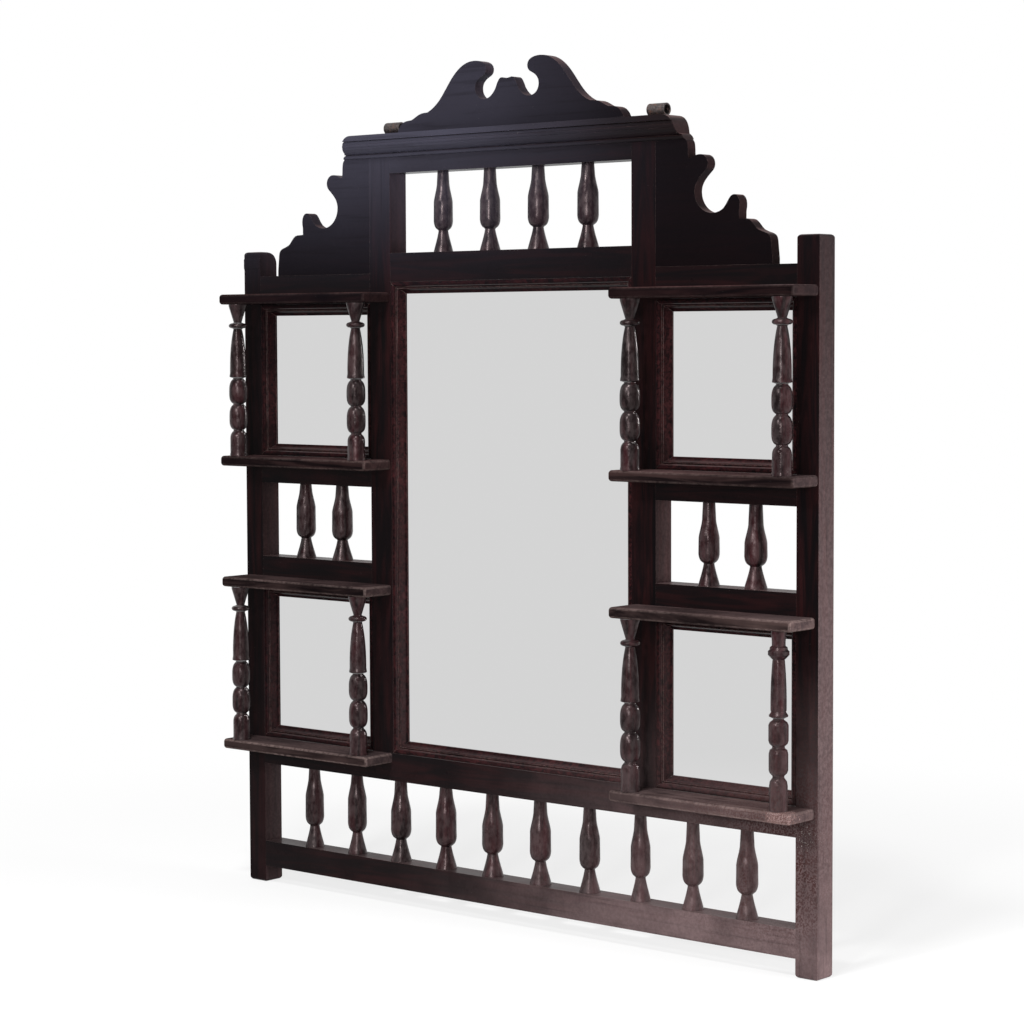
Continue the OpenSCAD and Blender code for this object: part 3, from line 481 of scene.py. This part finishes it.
def make_finishes():
    """Each finish: the material of faces and, where arrises are softened, of arrises, with the
    arris's width and number of segments."""
    post = wood("post_wood", "Z", red=0.40, film_share=0.85, shine=0.02)
    post_edge = wood("post_edge", "Z", red=0.40, film_share=0.85, wear_and_glint=0.9)
    rail = wood("rail_wood", "X", red=0.30)
    rail_edge = wood("rail_edge", "X", red=0.30, wear_and_glint=0.75)
    shelf = wood("shelf_wood", "X", red=0.26, film_share=0.8, right_face_share=0.70, rounding=0.55, shine=0.0)
    cornice = wood("cornice_wood", "X", red=0.24, body=CORNICE_BODY, reflection_strength=1.6)
    cornice_edge = wood("cornice_edge", "X", red=0.24, body=CORNICE_BODY, reflection_strength=1.6, wear_and_glint=0.75)
    board = wood("board_wood", "X", red=0.06, reflection_strength=0.85, shine=0.010)
    board_edge = wood("board_edge", "X", red=0.30, reflection_strength=0.85, wear_and_glint=0.8)
    turning = {"red": 0.32, "body": TURNED_BODY, "stain": TURNED_STAIN, "film_share": 0.15, "shine": 0.26}
    turned = wood("turned_wood", "Z", lathe=True, **turning)
    turned_edge = wood("turned_edge", "Z", wear_and_glint=0.2, **turning)
    moulding = {"red": 0.38, "stain": THIN_STAIN, "film_share": 0.40, "shine": 0.01}
    moulded = wood("moulding_wood", "", **moulding)
    moulded_edge = wood("moulding_edge", "", wear_and_glint=1.0, **moulding)
    glass = mirror_glass()
    backing = backing_wood()
    iron = hanger_iron()
    steel = screw_steel()
    return {
        "post": (post, post_edge, POST_ARRIS, 2),
        "rail": (rail, rail_edge, RAIL_ARRIS, 2),
        "shelf": (shelf, shelf, RAIL_ARRIS, 2),
        "cornice": (cornice, cornice_edge, RAIL_ARRIS, 2),
        "board": (board, board_edge, BOARD_ARRIS, 2),
        "turned": (turned, turned_edge, FINE_ARRIS, 1),
        "moulded": (moulded, moulded_edge, FINE_ARRIS, 1),
        "iron": (iron, iron, IRON_ARRIS, 2),
        "backing": (backing, backing, FINE_ARRIS, 1),
        "glass": (glass,),
        "dowel": (backing,),
        "steel": (steel,)}


def dress_all():
    """Gives each piece its finish, as the words in its name tell."""
    finishes = make_finishes()
    welding = welded_smooth()
    for name, piece in nodes.items():
        kind = next(finish for word, finish in FINISH_WORDS if word in name)
        face, *softened = finishes[kind]
        piece.data.materials.clear()
        piece.data.materials.append(face)
        if softened:
            edge, width, segments = softened
            piece.data.materials.append(edge)
            soften(piece, welding, width, segments)
        if any(word in name for word in UNMIRRORED_WORDS):
            piece.visible_glossy = False


def seen_share(n):
    """1 for what the camera sees, also in a mirror or through glass, and 0 for light on pieces."""
    path = n.add("ShaderNodeLightPath").outputs
    seen = n.math("MAXIMUM", path["Is Camera Ray"], path["Is Glossy Ray"])
    return n.math("MAXIMUM", seen, path["Is Transmission Ray"])


def set_world():
    """White behind the object and in its reflections, and soft grey light from all round."""
    world = bpy.data.worlds.new("studio")
    bpy.context.scene.world = world
    world.use_nodes = True
    n = Nodes(world.node_tree)
    light = n.add("ShaderNodeBackground", Color=WHITE, Strength=AMBIENT).outputs[0]
    white = n.add("ShaderNodeBackground", Color=WHITE, Strength=BACKGROUND).outputs[0]
    both = n.add("ShaderNodeMixShader", i0=seen_share(n), i1=light, i2=white)
    n.add("ShaderNodeOutputWorld", Surface=both.outputs[0])


def add_floor():
    """A pale floor that keeps a soft shadow near the feet and fades into the background."""
    bpy.ops.mesh.primitive_plane_add(size=FLOOR_SIDE, location=(0, 0, 0))
    floor = bpy.context.object
    floor.name = "floor"
    material, n = new_material("floor_white")
    distance = n.add("ShaderNodeVectorMath", {"operation": "LENGTH"}, i0=n.place()).outputs["Value"]
    clean = n.times(seen_share(n), n.ramp(distance, FLOOR_FADE, FLOOR_WHITE))
    matt = n.add("ShaderNodeBsdfDiffuse", Color=FLOOR_GREY).outputs[0]
    white = n.add("ShaderNodeEmission", Color=WHITE, Strength=BACKGROUND).outputs[0]
    both = n.add("ShaderNodeMixShader", i0=clean, i1=matt, i2=white)
    n.add("ShaderNodeOutputMaterial", Surface=both.outputs[0])
    floor.data.materials.append(material)


def add_lamp(name, place, target, width, height, power, mirrored=True):
    """A rectangular lamp that shines from place to target. Sizes are in metres, power in watts."""
    data = bpy.data.lights.new(name, "AREA")
    data.shape = "RECTANGLE"
    data.size = width
    data.size_y = height
    data.energy = power
    lamp = bpy.data.objects.new(name, data)
    lamp.location = place
    aim = Vector(target) - Vector(place)
    lamp.rotation_euler = aim.to_track_quat("-Z", "Y").to_euler()
    lamp.visible_camera = False
    lamp.visible_glossy = mirrored
    bpy.context.scene.collection.objects.link(lamp)


def add_lamps():
    """Two lamps before the mirror, one above it and a large one on its right."""
    add_lamp("window", place=(0.15, -2.5, 2.0), target=(0, 0, 0.55), width=0.42, height=0.42, power=44)
    add_lamp("ceiling", place=(0.5, -1.3, 3.0), target=(0, 0, 0.5), width=0.35, height=0.35, power=45)
    add_lamp("side", place=(2.8, 0.5, 0.6), target=(0.3, 0, 0.5), width=1.3, height=1.4, power=90,
             mirrored=False)
    add_lamp("fill", place=(1.5, -3.2, 1.15), target=(0, 0, 0.5), width=0.30, height=0.30, power=44)


def add_camera():
    """Puts the camera where the photo was taken from."""
    across, ahead = math.cos(CAMERA_YAW), math.sin(CAMERA_YAW)
    level, down = math.cos(CAMERA_PITCH), math.sin(CAMERA_PITCH)
    forward = Vector((-ahead * level, across * level, -down))
    right = Vector((across, ahead, 0))
    up = right.cross(forward)
    upright, tilted = math.cos(CAMERA_ROLL), math.sin(CAMERA_ROLL)
    right, up = right * upright + up * tilted, up * upright - right * tilted
    data = bpy.data.cameras.new("photo_view")
    data.sensor_width = CAMERA_SENSOR
    data.lens = CAMERA_LENS
    camera = bpy.data.objects.new("photo_view", data)
    turn = Matrix((right, up, -forward)).transposed()
    camera.matrix_world = Matrix.Translation(CAMERA_PLACE) @ turn.to_4x4()
    bpy.context.scene.collection.objects.link(camera)
    bpy.context.scene.camera = camera


add_camera()
set_world()
add_floor()
add_lamps()
dress_all()
bpy.context.scene.view_settings.view_transform = "Standard"

bpy.context.view_layer.update()
